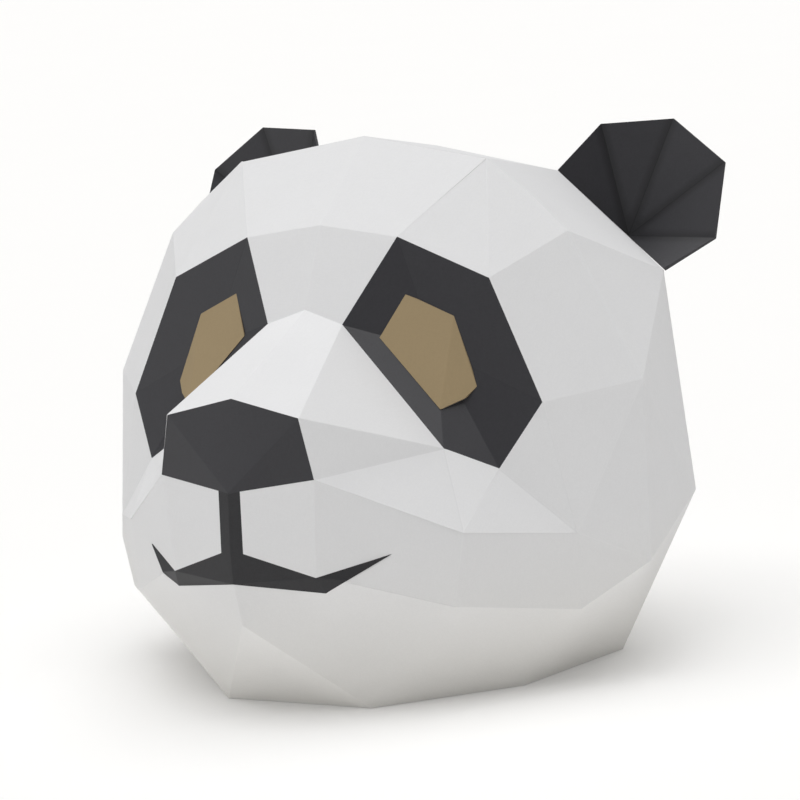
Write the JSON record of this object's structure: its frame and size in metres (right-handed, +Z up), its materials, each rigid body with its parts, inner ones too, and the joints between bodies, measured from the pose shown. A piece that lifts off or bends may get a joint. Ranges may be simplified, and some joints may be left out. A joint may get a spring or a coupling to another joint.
{
  "type": "panda face mask",
  "caption": "Folded card panda mask that covers the whole head: faceted white sheets with black eye patches, nose, mouth and ears, and an open neck rim.",
  "frame": {"origin": "centre of the overall outline, in the plane of the neck rim", "axes": "+Z up, the face looks along -Y, +X is the viewer's right when facing the mask"},
  "size_m": [0.34, 0.3135, 0.287],
  "materials": {
    "white_card": "matt white card",
    "black_card": "matt black card",
    "tan_card": "matt tan card"
  },
  "bodies": {
    "root": {"forehead_sheet": "white_card", "crown_sheet": "white_card", "temple_sheet_left": "white_card", "temple_sheet_right": "white_card", "cheek_sheet_left": "white_card", "cheek_sheet_right": "white_card", "muzzle_sheet": "white_card", "lip_sheet_left": "white_card", "lip_sheet_right": "white_card", "jaw_sheet": "white_card", "nape_upper_sheet": "white_card", "nape_lower_sheet": "white_card", "nape_side_sheet_left": "white_card", "nape_side_sheet_right": "white_card", "eye_patch_left": "black_card", "eye_patch_right": "black_card", "nose_sheet": "black_card", "mouth_sheet": "black_card", "ear_left": "black_card", "ear_right": "black_card", "eye_panel_left": "tan_card", "eye_panel_right": "tan_card"}
  },
  "joints": []
}
